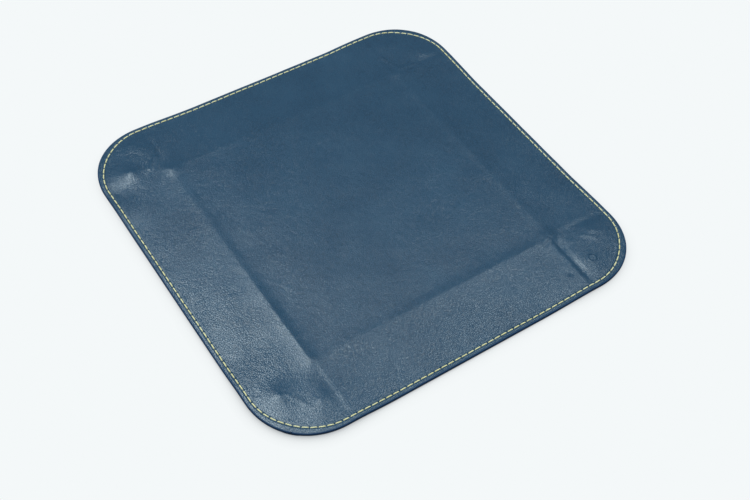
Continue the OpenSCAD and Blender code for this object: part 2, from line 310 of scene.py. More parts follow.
def relief(x, y):
    """What shows on the leather only: the seam's groove, snap backs, dents and unevenness."""
    inside, along, seam_in = seam_place(x, y)
    past = inside - seam_in
    gap = np.abs(along / PITCH - np.floor(along / PITCH) - 0.5) * PITCH
    # the groove and the needle's holes, the low shoulders beside it, and the worn edge
    z = -SEAM_DEPTH * bell(past / 0.6) - 0.38 * np.exp(-(past / 0.55) ** 2 - (gap / 0.45) ** 2)
    z = z + 0.05 * bell((past + 1.3) / 0.6) + 0.05 * bell((past - 1.5) / 0.8)
    z = z - 0.22 * bell(inside / 0.9)
    calm = 1 - bell(past / 1.5)
    z = z + 0.012 * ripples(x, y, 5, 12, 11) * calm + waves(x, y)
    for look, u, v, socket, stud in corner_frames(x, y):
        near = np.exp(-(np.hypot(u - 17, v - 17) / 22) ** 4)
        z = z + 0.015 * ripples(x, y, 3.5, 7, 21) * near * calm
        # the leather's own bump sits a little off the socket, as it has crept
        z = z + look["dome"] * bell(np.hypot(u - socket[0] + 3.0, v - socket[1] + 1.5) / 3.8)
        r = np.hypot(u - stud[0], v - stud[1])
        z = z + look["pole"] * bell(r / 4.0)
        z = z + look["ring"] * bell((r - 2.3) / 0.5) + look["nub"] * bell(r / 1.4)
    for x0, y0, x1, y1, wide, high in CRINKLES:
        dx, dy = x1 - x0, y1 - y0
        t = (((x - x0) * dx + (y - y0) * dy) / (dx ** 2 + dy ** 2)).clip(0, 1)
        z = z + high * bell(np.hypot(x - x0 - t * dx, y - y0 - t * dy) / wide)
    for px, py, size, deep in PITS:
        z = z - deep * bell(np.hypot(x - px, y - py) / size)
    return z


def top(x, y):
    """Height of the leather's face."""
    return lift(x, y, seated=False) + SHEET + relief(x, y)


BOARD_IN = 6.5             # from a wall board to the sheet's edge


def board_gap(x, y):
    """1 over a board and 0 outside them."""
    ax, ay = np.abs(x), np.abs(y)
    hi, lo = np.maximum(ax, ay), np.minimum(ax, ay)
    on_base = smooth((FOLD - 2.1 - hi) / 0.9)
    on_wall = smooth((hi - FOLD - 2.1) / 0.9) * smooth((EDGE - BOARD_IN + 0.7 - hi) / 1.4)
    return smooth((FOLD - FLAP_HALF - lo) / 0.9) * np.maximum(on_base, on_wall)


# ---------- plans ----------

def line(a, b, step):
    """Points from a to just before b."""
    a, b = np.array(a, float), np.array(b, float)
    n = max(1, int(math.ceil(np.linalg.norm(b - a) / step - 1e-6)))
    return [a + (b - a) * i / n for i in range(n)]


def rim_point(s, inset=RIM):
    """A point inset from the outline, s along the seam from the back's middle, to the right if s > 0."""
    if s < 0:
        return rim_point(-s, inset) * [-1, 1]
    half = EIGHTH - ARC_C
    if s <= ARC_C:
        return np.array([s, EDGE - inset])
    if s >= ARC_C + 2 * half:
        return np.array([EDGE - inset, ARC_C - (s - ARC_C - 2 * half)])
    angle = (s - ARC_C) / SEAM_R
    r = CORNER_R - inset + BULGE * math.sin(2 * angle) ** 2
    return np.array([ARC_C + r * math.sin(angle), ARC_C + r * math.cos(angle)])


SEAM_STEP = PITCH / 6      # spacing of points along the outline


def rim_line(s0, s1, inset=RIM):
    """Points along the outline from s0 to just before s1, with the even seam spacing between."""
    first = math.floor(s0 / SEAM_STEP + 1e-6) + 1
    last = math.ceil(s1 / SEAM_STEP - 1e-6) - 1
    between = [k * SEAM_STEP for k in range(first, last + 1)]
    marks = [s0] + [s for s in between if s - s0 > 0.15 and s1 - s > 0.15]
    return [rim_point(s, inset) for s in marks]


def ring(parts):
    """A closed plan from stretches of (kind, points): its points, and each side's kind."""
    points, kinds = [], []
    for kind, stretch in parts:
        points += list(stretch)
        kinds += [kind] * len(stretch)
    return np.array(points), kinds


STEP = 1.0                 # spacing of points along a panel's cut sides
FINE_STEP = 0.5            # and where two creases are close


def cuts(points, steps):
    """Cut sides through a row of corners, as stretches of a plan."""
    return [("cut", line(a, b, step)) for a, b, step in zip(points, points[1:], steps)]


def base_plan():
    """The base, reaching out at each corner to where the creases cross."""
    e, f, w = FOLD - FOLD_HALF, FOLD + FOLD_HALF, FOLD - FLAP_HALF
    corner = [(e, NECK), (FOLD, EAR), (f, w), (f, f), (w, f), (EAR, FOLD), (NECK, e)]
    parts = []
    for quarter in range(4):
        points = turned(corner + [(-NECK, e)], quarter)
        parts += cuts(points, [FINE_STEP] * 6 + [STEP])
    return ring(parts)


def wall_plan():
    """The back wall, with the strip that bends at its floor crease."""
    e, f, w = FOLD - FOLD_HALF, FOLD + FOLD_HALF, FOLD - FLAP_HALF
    steps = [STEP, FINE_STEP, FINE_STEP, STEP]
    return ring(cuts([(-NECK, e), (NECK, e), (EAR, FOLD), (w, f), rim_point(w)], steps)
                + [("rim", [rim_point(w)] + rim_line(-w, w)[:0:-1])]
                + cuts([(-w, EDGE - RIM), (-w, f), (-EAR, FOLD), (-NECK, e)], steps))


def flap_plan():
    """The back wall's right flap, with the strip that bends at its crease."""
    w, f = FOLD - FLAP_HALF, FOLD + FOLD_HALF
    tip = rim_point(EIGHTH)
    return ring([
        ("cut", line((w, f), (f, f), FINE_STEP)),
        ("fold", line((f, f), tip, STEP)),
        ("rim", [tip] + rim_line(w, EIGHTH)[:0:-1]),
        ("cut", line(rim_point(w), (w, f), STEP)),
    ])


# ---------- points inside the plans ----------

def snap_places():
    """Plan places of all eight snap halves."""
    pair = [(FOLD + SNAP_U, FOLD + SNAP_V), (FOLD + SNAP_V, FOLD + SNAP_U)]
    return [place for quarter in range(4) for place in turned(pair, quarter)]


SNAP_REACH = 6.2           # how far the rings of points round a snap go


def cloud(step, rows, polar_step):
    """Points over the sheet: a grid, finer by the creases, rows along the seam, rings round the snaps."""
    half = step / 2
    marks = np.arange(-math.floor(EDGE / half), math.floor(EDGE / half) + 1)
    i, j = (a.ravel() for a in np.meshgrid(marks, marks))
    x, y = i * half + 0.07, j * half + 0.04
    crease = (np.abs(np.abs(x) - FOLD) < 4.2) | (np.abs(np.abs(y) - FOLD) < 4.2)
    keep = (crease | ((i % 2 == 0) & (j % 2 == 0))) & (seam_place(x, y)[0] > rows[-1] + half)
    for place in snap_places():
        keep &= np.hypot(x - place[0], y - place[1]) > SNAP_REACH + polar_step / 2
    points = [np.stack([x[keep], y[keep]], 1)]
    for quarter in range(4):
        for inset in rows:
            s = np.arange(-STITCHES * 6 - 3, STITCHES * 6 + 4) * SEAM_STEP
            s = s[np.abs(s) < EIGHTH - 0.1]
            points.append(turned([rim_point(a, inset) for a in s], quarter))
    for place in snap_places():
        for r in np.arange(0, SNAP_REACH, polar_step):
            n = max(1, int(2 * math.pi * r / (polar_step * 1.3)))
            a = np.arange(n) * 2 * math.pi / n + r
            points.append(np.stack([place[0] + r * np.cos(a), place[1] + r * np.sin(a)], 1))
    return np.concatenate(points)


def within(points, loop, clear):
    """The points inside a closed plan and at least clear from its sides."""
    low, high = loop.min(0), loop.max(0)
    points = points[((points > low) & (points < high)).all(1)]
    a, b = loop, np.roll(loop, -1, 0)
    odd = np.zeros(len(points), bool)
    near = np.full(len(points), 1e9)
    for p, q in zip(a, b):
        cross = (p[1] > points[:, 1]) != (q[1] > points[:, 1])
        if cross.any():
            x = p[0] + (points[:, 1] - p[1]) * (q[0] - p[0]) / (q[1] - p[1] if q[1] != p[1] else 1e-9)
            odd ^= cross & (points[:, 0] < x)
        d = q - p
        t = np.clip(((points - p) @ d) / (d @ d), 0, 1)
        near = np.minimum(near, np.linalg.norm(points - p - t[:, None] * d, axis=1))
    return points[odd & (near > clear)]


CLEAR = 0.22               # least distance of a point from the sides of its panel


def fill(loop, points):
    """Triangles over a closed plan: all points, the loop first, and the triangles."""
    given = [Vector(p) for p in loop] + [Vector(p) for p in points]
    co, _, faces, origin, _, _ = delaunay_2d_cdt(given, [], [list(range(len(loop)))], 1, 1e-6)
    place = np.zeros(len(co), int)
    for k, sources in enumerate(origin):
        place[k] = min(sources)
    flat = np.array([(p.x, p.y) for p in given])
    faces = place[np.array(faces, int)]
    a, b, c = flat[faces[:, 0]], flat[faces[:, 1]], flat[faces[:, 2]]
    area = (b[:, 0] - a[:, 0]) * (c[:, 1] - a[:, 1]) - (b[:, 1] - a[:, 1]) * (c[:, 0] - a[:, 0])
    faces[area < 0] = faces[area < 0][:, ::-1]
    return flat, faces


# ---------- meshes ----------

class Shape:
    """A mesh in the making, in millimetres: points, triangles, a normal at each corner, material slots."""

    def __init__(self):
        self.points, self.faces, self.normals, self.slots, self.count = [], [], [], [], 0

    def add(self, points):
        points = np.asarray(points, float).reshape(-1, 3)
        first = self.count
        self.points.append(points)
        self.count += len(points)
        return first + np.arange(len(points))

    def tri(self, faces, normals, slot=0):
        faces = np.asarray(faces, int).reshape(-1, 3)
        self.faces.append(faces)
        self.normals.append(np.asarray(normals, float).reshape(-1, 3, 3))
        self.slots.append(np.full(len(faces), slot, np.int32))

    def quads(self, a, b, c, d, normals=None, slot=0):
        """Quads from four rows of point numbers; normals are four matching rows, or None for flat faces."""
        faces = np.concatenate([np.stack([a, b, c], 1), np.stack([a, c, d], 1)])
        if normals is None:
            p = np.concatenate(self.points)
            flat = np.cross(p[faces[:, 1]] - p[faces[:, 0]], p[faces[:, 2]] - p[faces[:, 0]])
            half = len(a)
            flat = flat[:half] + flat[half:]
            flat /= np.maximum(np.linalg.norm(flat, axis=1), 1e-12)[:, None]
            normals = np.repeat(np.concatenate([flat, flat])[:, None], 3, 1)
        else:
            na, nb, nc, nd = normals
            normals = np.concatenate([np.stack([na, nb, nc], 1), np.stack([na, nc, nd], 1)])
        self.tri(faces, normals, slot)

    def build(self, name, materials):
        points = np.concatenate(self.points)
        faces = np.concatenate(self.faces)
        mesh = bpy.data.meshes.new(name)
        mesh.from_pydata((points * MM).tolist(), [], faces.tolist())
        mesh.polygons.foreach_set("material_index", np.concatenate(self.slots))
        mesh.polygons.foreach_set("use_smooth", np.ones(len(faces), bool))
        place = mesh.attributes.new("sheet_mm", "FLOAT_VECTOR", "POINT")
        place.data.foreach_set("vector", points.astype(np.float32).ravel())
        normals = np.concatenate(self.normals).reshape(-1, 3)
        normals = normals / np.maximum(np.linalg.norm(normals, axis=1), 1e-12)[:, None]
        mesh.normals_split_custom_set(normals.tolist())
        for m in materials:
            mesh.materials.append(m)
        mesh.update()
        made = bpy.data.objects.new(name, mesh)
        bpy.context.scene.collection.objects.link(made)
        return made


def surface_normals(height, x, y, up=1):
    """Unit normals of a height field, up (1) or down (-1)."""
    h = 0.12
    gx = (height(x + h, y) - height(x - h, y)) / (2 * h)
    gy = (height(x, y + h) - height(x, y - h)) / (2 * h)
    n = np.stack([-gx, -gy, np.ones_like(gx)], 1) * up
    return n / np.linalg.norm(n, axis=1)[:, None]


def outward(points):
    """Unit direction out of the sheet's outline."""
    x, y = points.T
    cx, cy = np.abs(x) - ARC_C, np.abs(y) - ARC_C
    arc = (cx > 0) & (cy > 0)
    wide = np.abs(x) > np.abs(y)
    nx = np.where(arc, cx, np.where(wide, 1.0, 0.0)) * np.sign(x)
    ny = np.where(arc, cy, np.where(wide, 0.0, 1.0)) * np.sign(y)
    n = np.stack([nx, ny], 1)
    return n / np.linalg.norm(n, axis=1)[:, None]


def leather_under(x, y):
    """The leather's inner face, raised over the boards."""
    return lift(x, y) + SHEET / 2 + BOARD / 2 * board_gap(x, y)


def velvet_over(x, y):
    """The velvet's inner face, a hair under the leather's and sunk under the boards."""
    return lift(x, y) + SHEET / 2 - 0.04 - (BOARD / 2 + 0.01) * board_gap(x, y)


def seam_under(x, y):
    """The velvet's face, with the seam drawn up into it."""
    inside, _, seam_in = seam_place(x, y)
    return lift(x, y) + 0.28 * bell((inside - seam_in) / 0.7)


RIM_RINGS = 9              # rings of points round the painted edge
RIM_POWER = 2.5            # its roundness: 2 is a circle, and more is squarer
FOLD_RINGS = 8             # and round a diagonal's half edge


def add_skin(shape, plan, upper, lower, fine, coarse, edged):
    """Adds a closed skin over a plan. edged skins have the painted rim and the rounded diagonal."""
    loop, kinds = plan
    flat, faces = fill(loop, within(fine, loop, CLEAR))
    x, y = flat.T
    over = shape.add(np.stack([x, y, upper(x, y)], 1))
    n_over = surface_normals(upper, x, y)
    shape.tri(over[faces], n_over[faces])
    flat, faces = fill(loop, within(coarse, loop, CLEAR))
    x, y = flat.T
    under = shape.add(np.stack([x, y, lower(x, y)], 1))
    n_under = surface_normals(lower, x, y, -1)
    shape.tri(under[faces[:, ::-1]], n_under[faces[:, ::-1]])

    count = len(loop)
    after = (np.arange(count) + 1) % count
    kinds = np.array(kinds)
    upper_z = upper(loop[:, 0], loop[:, 1])
    for kind in ("cut", "rim", "fold"):
        i = np.where(kinds == kind)[0]
        if not len(i):
            continue
        j = after[i]
        if kind == "cut" or not edged:
            shape.quads(over[j], over[i], under[i], under[j])
            continue
        used = np.unique(np.concatenate([i, j]))
        number = np.full(count, -1)
        number[used] = np.arange(len(used))
        at = loop[used]
        if kind == "rim":
            # a squarish round edge, from the face down to the velvet
            away = outward(at)
            bottom = lift(at[:, 0], at[:, 1])
            middle, half = (upper_z[used] + bottom) / 2, (upper_z[used] - bottom) / 2
            angles = np.linspace(math.pi / 2, -math.pi / 2, RIM_RINGS + 2)
            reach = RIM * np.cos(angles).clip(0) ** (2 / RIM_POWER)
            rise = np.sign(np.sin(angles)) * np.abs(np.sin(angles)) ** (2 / RIM_POWER)
            rings = [np.column_stack([at + away * r, middle + half * h]) for r, h in zip(reach[1:], rise[1:])]
            side = np.cos(angles).clip(0) ** (2 - 2 / RIM_POWER) / RIM
            lean = np.sign(np.sin(angles)) * np.abs(np.sin(angles)) ** (2 - 2 / RIM_POWER)
            facing = [np.column_stack([away * s, c / half]) for s, c in zip(side, lean)]
        else:
            # a quarter cylinder about the hinge line
            low_side = loop[j[0]] - loop[i[0]]
            away = np.array([low_side[1], -low_side[0]]) / np.linalg.norm(low_side)
            r = upper_z[used] - HINGE_Z
            end = np.arcsin((FLAP_LIFT + 0.04 - HINGE_Z) / r)
            rings, facing = [], [np.tile([0, 0, 1.0], (len(used), 1))]
            for t in np.arange(1, FOLD_RINGS + 1) / FOLD_RINGS:
                a = math.pi / 2 + (end - math.pi / 2) * t
                plan = at + away * r[:, None] * np.cos(a)[:, None]
                rings.append(np.column_stack([plan, HINGE_Z + r * np.sin(a) - 0.06]))
                facing.append(np.column_stack([away * np.cos(a)[:, None], np.sin(a)]))
        facing = [f / np.linalg.norm(f, axis=1)[:, None] for f in facing]
        rows = [over[used]] + [shape.add(r) for r in rings]
        slot = 1 if kind == "rim" else 0
        p, q = number[i], number[j]
        for k in range(len(rows) - 1):
            shape.quads(rows[k][q], rows[k][p], rows[k + 1][p], rows[k + 1][q],
                        (facing[k][q], facing[k][p], facing[k + 1][p], facing[k + 1][q]), slot)
        shape.quads(rows[-1][q], rows[-1][p], under[i], under[j])
        # close the two ends of the stretch
        for end, turn in ((p[0], 1), (q[-1], -1)):
            column = [row[end] for row in rows] + [under[used[end]]]
            for k in range(1, len(column) - 1):
                face = [column[0], column[k], column[k + 1]][::turn]
                pts = np.concatenate(shape.points)[face]
                n = np.cross(pts[1] - pts[0], pts[2] - pts[0])
                if np.linalg.norm(n) > 1e-9:
                    shape.tri([face], [[n, n, n]], slot)


KNUCKLE_RINGS = 7
KNUCKLE_TURNS = 20


def add_knuckle(shape, quarter):
    """A dome inside the sheet where the creases cross. Folded, it fills the corner of base and flaps."""
    vertex = turned([(FOLD, FOLD)], quarter)[0]
    r = top(*(np.array([a]) for a in vertex))[0] - HINGE_Z - 0.12
    low = math.acos((FLAP_LIFT + 0.05 - HINGE_Z) / r)
    count = KNUCKLE_TURNS
    turns = np.arange(count) * 2 * math.pi / count
    rows, facing = [], []
    for k in range(KNUCKLE_RINGS + 1):
        a = low * k / KNUCKLE_RINGS
        level = np.full(count, math.cos(a))
        away = np.stack([math.sin(a) * np.cos(turns), math.sin(a) * np.sin(turns), level], 1)
        rows.append(shape.add(np.array([*vertex, HINGE_Z]) + r * away))
        facing.append(away)
    i, j = np.arange(count), (np.arange(count) + 1) % count
    for k in range(KNUCKLE_RINGS):
        shape.quads(rows[k][j], rows[k][i], rows[k + 1][i], rows[k + 1][j],
                    (facing[k][j], facing[k][i], facing[k + 1][i], facing[k + 1][j]))
    for k in range(1, count - 1):
        shape.tri([[rows[-1][0], rows[-1][k + 1], rows[-1][k]]], [[(0, 0, -1)] * 3])


# each: grid step, insets of the rows along the edge, step round the snaps
FINE = cloud(1.25, [1.15, 1.7, 2.15, 2.5, 2.75, 3.0, 3.25, 3.5, 3.8, 4.1, 4.4, 4.7, 5.1], 0.42)
MIDDLE = cloud(2.5, [1.5, 2.3, 3.0, 3.7, 4.8], 1.2)
COARSE = cloud(5.0, [2.5, 4.5], 2.5)


# ---------- materials ----------

class Nodes:
    """A material, or a world, under construction."""

    def __init__(self, name, kind="materials"):
        self.owner = getattr(bpy.data, kind).new(name)
        self.owner.use_nodes = True
        self.tree = self.owner.node_tree

    def add(self, kind, inputs=(), **settings):
        node = self.tree.nodes.new(kind)
        for key, value in settings.items():
            setattr(node, key, value)
        for key, value in dict(inputs).items():
            self.put(node.inputs[key], value)
        return node

    def put(self, socket, value):
        if isinstance(value, bpy.types.NodeSocket):
            self.tree.links.new(value, socket)
        else:
            socket.default_value = value

    def finish(self, **values):
        """Sets the shader's own sockets, named with _ for a space, and returns the material."""
        for name, value in values.items():
            self.put(self.tree.nodes["Principled BSDF"].inputs[name.replace("_", " ")], value)
        return self.owner

    def sheet_place(self):
        """The place on the flat sheet in millimetres, which stays with the leather as it folds."""
        return self.add("ShaderNodeAttribute", attribute_name="sheet_mm").outputs["Vector"]

    def object_place(self):
        """Object coordinates in millimetres."""
        place = self.add("ShaderNodeTexCoord").outputs["Object"]
        return self.add("ShaderNodeVectorMath", {0: place, 1: (1 / MM,) * 3}, operation="MULTIPLY").outputs[0]

    def noise(self, place, size, detail=2.0, roughness=0.5, out=0):
        return self.add("ShaderNodeTexNoise", {"Vector": place, "Scale": 1 / size, "Detail": detail,
                                               "Roughness": roughness}).outputs[out]

    def remap(self, value, low, high, to_low, to_high):
        return self.add("ShaderNodeMapRange", {0: value, 1: low, 2: high, 3: to_low, 4: to_high}).outputs[0]

    def maths(self, operation, a, b=0.0):
        return self.add("ShaderNodeMath", {0: a, 1: b}, operation=operation).outputs[0]

    def cells(self, place, size, feature, **inputs):
        """A pattern of cells, size millimetres across."""
        inputs = {"Vector": place, "Scale": 1 / size, **inputs}
        return self.add("ShaderNodeTexVoronoi", inputs, feature=feature)

    def swayed(self, place, sway, reach):
        """The place moved by a colour pattern, up to reach millimetres."""
        return self.add("ShaderNodeVectorMath", {0: sway, 1: (reach,) * 3, 2: place},
                        operation="MULTIPLY_ADD").outputs[0]

    def blend_colours(self, factor, a, b):
        node = self.add("ShaderNodeMix", data_type="RGBA")
        self.put(node.inputs[0], factor)
        self.put(node.inputs[6], a)
        self.put(node.inputs[7], b)
        return node.outputs[2]

    def bump(self, height, depth, strength=1.0, normal=None):
        """Bump of a height from 0 to 1, depth millimetres deep."""
        node = self.add("ShaderNodeBump", {"Height": height, "Distance": depth * MM, "Strength": strength})
        if normal is not None:
            self.put(node.inputs["Normal"], normal)
        return node.outputs[0]


# sizes of the leather's patterns
PEBBLE = 1.15
WRINKLE = 5.5

LEATHER_DARK = (0.013, 0.042, 0.079, 1)
LEATHER_MID = (0.0225, 0.071, 0.129, 1)
LEATHER_HAZE = (0.030, 0.083, 0.144, 1)


def leather_material():
    """Navy coated leather: pebbles about 1 mm across, fine wrinkles between them, and a hazy bloom."""
    m = Nodes("leather_navy")
    place = m.sheet_place()
    drift = m.add("ShaderNodeTexNoise", {"Vector": place, "Scale": 0.5, "Detail": 1.0}).outputs["Color"]
    bent = m.swayed(place, drift, 0.7)
    pebbles = m.cells(bent, PEBBLE, "DISTANCE_TO_EDGE", Randomness=0.95).outputs["Distance"]
    dome = m.remap(pebbles, 0.0, 0.28, 0.0, 1.0)
    dome = m.maths("POWER", dome, 0.55)
    tone = m.cells(bent, PEBBLE, "F1", Randomness=0.95).outputs["Color"]
    tone = m.add("ShaderNodeSeparateColor", {0: tone}).outputs[0]
    fine = m.noise(place, 0.28, 3.0, 0.6)
    broad = m.noise(place, 38.0, 3.0, 0.55)
    patch = m.noise(place, 7.0, 3.0, 0.6)
    height = m.maths("ADD", m.maths("MULTIPLY", dome, 0.75), m.maths("MULTIPLY", tone, 0.25))
    height = m.maths("ADD", height, m.maths("MULTIPLY", fine, 0.35))
    # a network of fine wrinkles, here and there
    sway = m.add("ShaderNodeTexNoise", {"Vector": place, "Scale": 1 / 5, "Detail": 2.0}).outputs["Color"]
    cells = m.cells(m.swayed(place, sway, 6), WRINKLE, "DISTANCE_TO_EDGE").outputs["Distance"]
    wrinkle = m.remap(cells, 0.0, 0.11, 1.0, 0.0)
    wrinkle = m.maths("MULTIPLY", wrinkle, m.remap(m.noise(place, 17.0, 2.0), 0.42, 0.62, 0.0, 1.0))
    height = m.maths("SUBTRACT", height, m.maths("MULTIPLY", wrinkle, 0.55))
    colour = m.blend_colours(m.remap(dome, 0.1, 0.9, 0.0, 1.0), LEATHER_DARK, LEATHER_MID)
    bloom = m.maths("MULTIPLY", m.remap(broad, 0.38, 0.72, 0.0, 0.7), m.remap(patch, 0.25, 0.75, 0.45, 1.0))
    colour = m.blend_colours(bloom, colour, LEATHER_HAZE)
    rough = m.maths("ADD", m.remap(patch, 0.3, 0.7, 0.12, 0.16), m.remap(dome, 0.0, 1.0, 0.06, 0.0))
    return m.finish(Base_Color=colour, Roughness=rough, Specular_IOR_Level=0.5, Normal=m.bump(height, 0.065))


def edge_material():
    """The cut edge: thick navy edge paint, smooth with faint waves."""
    m = Nodes("leather_edge_paint")
    place = m.sheet_place()
    broad = m.noise(place, 9.0, 2.0)
    fine = m.noise(place, 1.6, 2.0)
    return m.finish(
        Base_Color=m.blend_colours(broad, (0.008, 0.040, 0.105, 1), (0.012, 0.054, 0.135, 1)),
        Roughness=m.remap(fine, 0.3, 0.7, 0.42, 0.58), Specular_IOR_Level=0.3, Normal=m.bump(fine, 0.06))


def velvet_material():
    """Short navy pile, brushed in soft patches."""
    m = Nodes("velvet_navy")
    place = m.sheet_place()
    brushed = m.noise(place, 24.0, 3.0, 0.6)
    tuft = m.noise(place, 0.35, 3.0, 0.7)
    weave = m.noise(place, 1.3, 2.0, 0.6)
    shade = m.maths("ADD", m.maths("MULTIPLY", brushed, 0.6), m.maths("MULTIPLY", tuft, 0.4))
    shade = m.remap(shade, 0.3, 0.7, 0.0, 1.0)
    colour = m.blend_colours(shade, (0.006, 0.010, 0.030, 1), (0.018, 0.030, 0.075, 1))
    rough = m.remap(brushed, 0.3, 0.7, 0.80, 0.95)
    height = m.maths("ADD", m.maths("MULTIPLY", tuft, 0.7), m.maths("MULTIPLY", weave, 0.5))
    return m.finish(Base_Color=colour, Roughness=rough, Sheen_Weight=0.8, Sheen_Roughness=0.35,
                    Sheen_Tint=(0.35, 0.45, 0.80, 1), Normal=m.bump(height, 0.16))


def board_material():
    """Grey paperboard with pressed fibres."""
    m = Nodes("board_grey")
    place = m.sheet_place()
    fibre = m.noise(place, 0.9, 4.0, 0.7)
    speck = m.noise(place, 0.25, 1.0)
    return m.finish(
        Base_Color=m.blend_colours(fibre, (0.26, 0.23, 0.18, 1), (0.42, 0.39, 0.32, 1)),
        Roughness=m.remap(speck, 0.3, 0.7, 0.80, 0.95), Normal=m.bump(fibre, 0.08))


def thread_material():
    """Pale yellow waxed polyester, its fibres laid along the ply."""
    m = Nodes("thread_yellow")
    place = m.sheet_place()
    fibre = m.noise(place, 0.22, 2.0, 0.6)
    spool = m.noise(place, 11.0, 2.0)
    light = m.blend_colours(m.remap(spool, 0.3, 0.7, 0.0, 1.0), (0.88, 0.82, 0.42, 1), (0.96, 0.93, 0.58, 1))
    return m.finish(
        Base_Color=m.blend_colours(m.remap(fibre, 0.3, 0.7, 0.0, 0.5), light, (0.55, 0.46, 0.17, 1)),
        Roughness=m.remap(fibre, 0.3, 0.7, 0.45, 0.65), Normal=m.bump(fibre, 0.05))


def metal_material():
    """Bright nickel plate with faint rubbing marks."""
    m = Nodes("snap_nickel")
    place = m.object_place()
    rub = m.noise(place, 0.9, 3.0, 0.7)
    fine = m.noise(place, 0.12, 2.0)
    return m.finish(
        Base_Color=m.blend_colours(rub, (0.60, 0.59, 0.56, 1), (0.74, 0.73, 0.70, 1)), Metallic=1.0,
        Roughness=m.remap(rub, 0.3, 0.7, 0.16, 0.32), Normal=m.bump(fine, 0.01))


LEATHER, EDGE_PAINT, VELVET = leather_material(), edge_material(), velvet_material()
BOARD_GREY, THREAD, NICKEL = board_material(), thread_material(), metal_material()


# ---------- pieces ----------

def flip(plan):
    """A plan mirrored left to right."""
    points, kinds = plan
    return points[::-1] * [-1, 1], kinds[-2::-1] + kinds[-1:]


def turn(plan, quarter):
    return turned(plan[0], quarter), plan[1]


def plan_area(plan):
    x, y = plan[0].T
    return abs(np.sum(x * np.roll(y, -1) - np.roll(x, -1) * y)) / 2 * MM * MM


def panels():
    """Every panel: its name, its plan, and the body it rides on, or the two bodies on either side of its
    crease and that crease's strip.
    """
    yield "base", base_plan(), "base", None
    for quarter, wall in enumerate(WALLS):
        start, end = turned([(0, FOLD - FOLD_HALF), (0, FOLD + FOLD_HALF)], quarter)
        yield f"wall_{wall}", turn(wall_plan(), quarter), ("base", f"wall_{wall}"), (start, end)
        for side, corner in ((1, CORNERS[quarter]), (-1, CORNERS[(quarter + 1) % 4])):
            plan = flap_plan() if side == 1 else flip(flap_plan())
            ends = [(side * (FOLD + d), FOLD + 20) for d in (-FLAP_HALF, FLAP_HALF)]
            strip = turned(ends, quarter)
            name = f"corner_{corner}_{wall}"
            yield name, turn(plan, quarter), (f"wall_{wall}", name), strip


def hold(piece, bodies, strip):
    """Rides on one body, or, given two bodies and a strip, stays where it is and rides on neither."""
    if strip is None:
        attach(piece, bodies)
    else:
        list(bodies)
        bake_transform(piece)


def make_panel(name, plan, bodies, strip):
    """A panel's leather and velvet."""
    area = plan_area(plan)
    skins = {
        "leather": (top, leather_under, FINE, MIDDLE, True, [LEATHER, EDGE_PAINT]),
        "velvet": (velvet_over, seam_under, MIDDLE, MIDDLE, False, [VELVET]),
    }
    for layer, (upper, lower, fine, coarse, edged, materials) in skins.items():
        shape = Shape()
        add_skin(shape, plan, upper, lower, fine, coarse, edged)
        if layer == "leather" and not name.startswith("wall"):
            for quarter, corner in enumerate(CORNERS):
                if name == "base" or name.startswith(f"corner_{corner}"):
                    add_knuckle(shape, quarter)
        piece = shape.build(f"{layer}_skin_{name}", materials)
        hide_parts(f"{layer}_{name}")
        hold(piece, bodies, strip)


BOARD_GAP = 2.55           # from a board to a floor crease
BOARD_SIDE = 3.05          # and to a flap crease


def board_plan(wall):
    """The base's board, or the back wall's."""
    if not wall:
        e = FOLD - BOARD_GAP
        corners = [(-e, -e), (e, -e), (e, e), (-e, e)]
    else:
        w, near, far = FOLD - BOARD_SIDE, FOLD + BOARD_GAP, EDGE - BOARD_IN
        corners = [(-w, near), (w, near), (w, far), (-w, far)]
    return ring([("cut", line(corners[i], corners[(i + 1) % 4], 4.0)) for i in range(4)])


def make_board(name, plan, body):
    """A stiff board between the leather and the velvet."""
    shape = Shape()

    def half(x, y):
        """Half its thickness."""
        return (BOARD / 2 - 0.02) * np.maximum(board_gap(x, y), 0.4)

    add_skin(shape, plan, lambda x, y: lift(x, y) + SHEET / 2 + half(x, y),
             lambda x, y: lift(x, y) + SHEET / 2 - half(x, y), COARSE, COARSE, False)
    piece = shape.build(f"board_core_{name}", [BOARD_GREY])
    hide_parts(f"board_{name}")
    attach(piece, body)


THREAD_R = 0.34
PLIES = 3                  # twisted together
PLY_TURN = 3.2             # length of thread in which a ply goes once round


